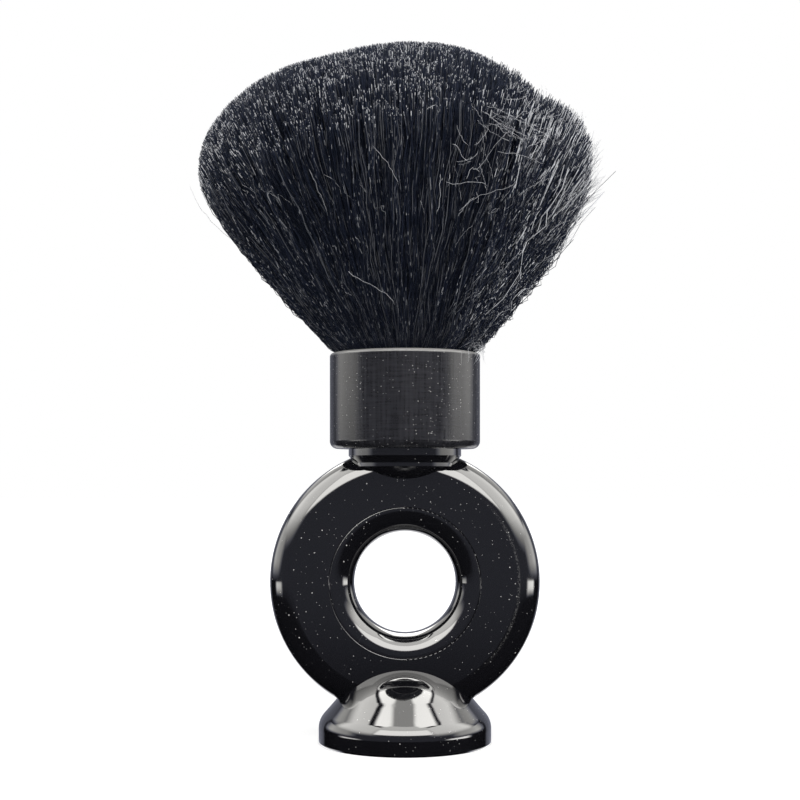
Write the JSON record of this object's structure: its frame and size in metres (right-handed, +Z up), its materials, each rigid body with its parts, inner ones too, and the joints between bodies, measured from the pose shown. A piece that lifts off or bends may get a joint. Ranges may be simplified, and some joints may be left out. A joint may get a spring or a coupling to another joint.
{
  "type": "neck duster brush",
  "caption": "Neck duster: domed mop of fine black fibre in a plain collar, on a glossy moulded handle with a finger ring and a bell foot that it stands on.",
  "frame": {"origin": "centre of the foot's underside, where the brush stands", "axes": "+Z up the brush from foot to mop, +Y along the finger hole's axis towards the rear, +X to the right seen from the front"},
  "size_m": [0.1034, 0.1011, 0.1714],
  "materials": {
    "handle_gloss": "high gloss black moulded plastic",
    "foot_cap_plastic": "fine moulded grain, black",
    "collar_satin": "satin black with fine upright streaks",
    "cup_plastic": "plain moulded grey",
    "cured_resin": "cured amber resin",
    "band_rubber": "plain grey band",
    "mop_fibre": "fine blue-black synthetic fibre with slight sheen"
  },
  "bodies": {
    "root": {"front_shell": "handle_gloss", "rear_shell": "handle_gloss", "foot_cap": "foot_cap_plastic", "collar": "collar_satin", "bristle_cup": "cup_plastic", "resin_bed": "cured_resin", "root_band": "band_rubber", "bristles": "mop_fibre"}
  },
  "joints": []
}
